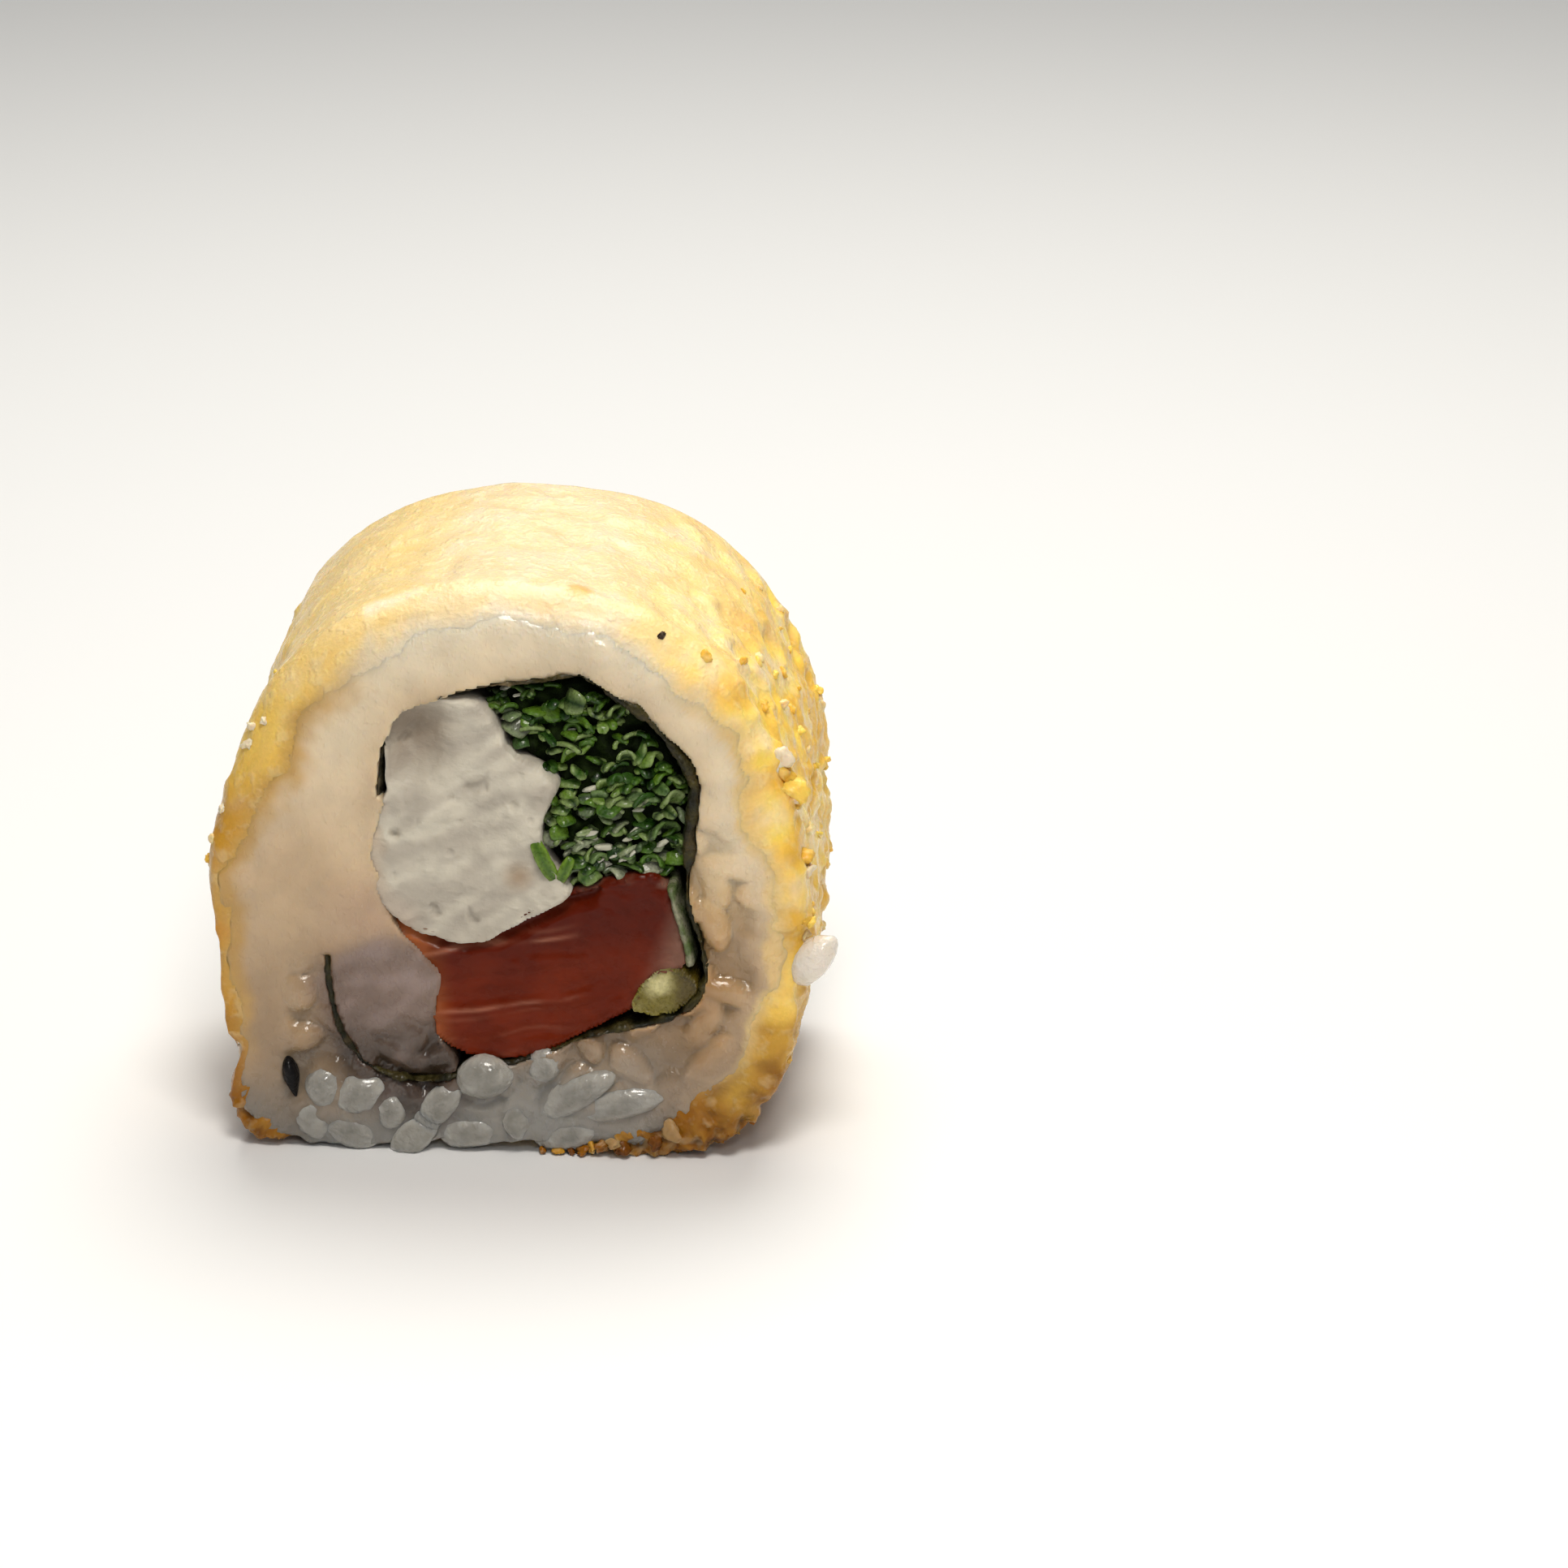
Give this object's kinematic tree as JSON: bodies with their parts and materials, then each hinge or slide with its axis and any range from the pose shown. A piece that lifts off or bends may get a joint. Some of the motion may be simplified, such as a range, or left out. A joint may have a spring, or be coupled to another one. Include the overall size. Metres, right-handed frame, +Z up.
{
  "type": "tempura salmon roll slice",
  "caption": "Thick slice of a deep-fried tempura sushi roll: batter coat round sushi rice and seaweed, filled with salmon, cream cheese and chopped green onion.",
  "frame": {"origin": "on the table plane under the middle of the roll's section, halfway along the slice's length", "axes": "+Y along the roll's axis from the front cut face to the back one, +Z up, +X to the right seen from the front"},
  "size_m": [0.0463, 0.0296, 0.0438],
  "materials": {
    "fried_batter": "craggy golden crust, a little oily",
    "sushi_rice": "moist, softly glossy",
    "seaweed": "damp, dark, fine grained",
    "cream_cheese": "smooth, soft satin",
    "salmon": "moist, glossy",
    "green_onion": "wet, chopped",
    "onion_stalk": "moist, smooth",
    "onion_leaf": "moist, thin"
  },
  "bodies": {
    "root": {"tempura_coat": "fried_batter", "rice": "sushi_rice", "nori_sheet": "seaweed", "cream_cheese": "cream_cheese", "salmon_strip": "salmon", "green_onion": "green_onion", "onion_stalk": "onion_stalk", "onion_leaf": "onion_leaf"}
  },
  "joints": []
}
